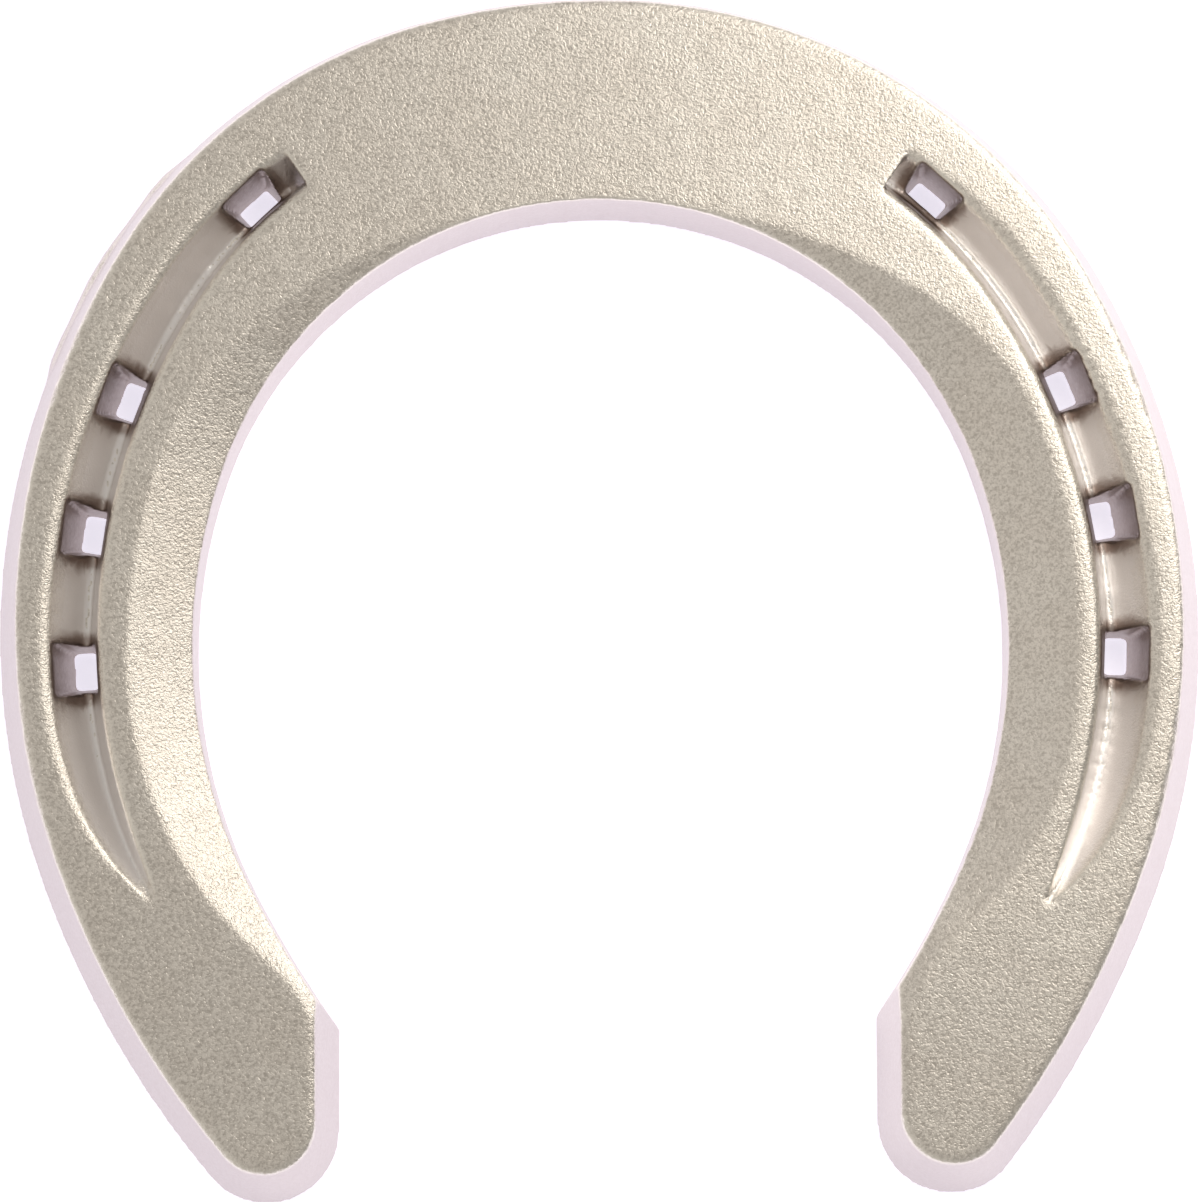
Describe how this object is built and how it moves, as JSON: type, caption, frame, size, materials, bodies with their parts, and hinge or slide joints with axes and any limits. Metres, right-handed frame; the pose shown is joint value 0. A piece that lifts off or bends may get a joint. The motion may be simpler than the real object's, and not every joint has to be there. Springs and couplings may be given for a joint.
{
  "type": "horseshoe",
  "caption": "Fullered front horseshoe in forged aluminium, with creased branches, punched nail holes and a concave inner edge.",
  "frame": {"origin": "middle of the shoe's outline, on the hoof face that it lies on", "axes": "+Z from the hoof face to the ground face, +Y from the heels to the toe, +X to the right branch as seen from the ground face"},
  "size_m": [0.13, 0.1318, 0.01],
  "materials": {
    "forged_aluminium": "shot-blasted, satin"
  },
  "bodies": {
    "root": {"shoe": "forged_aluminium"}
  },
  "joints": []
}
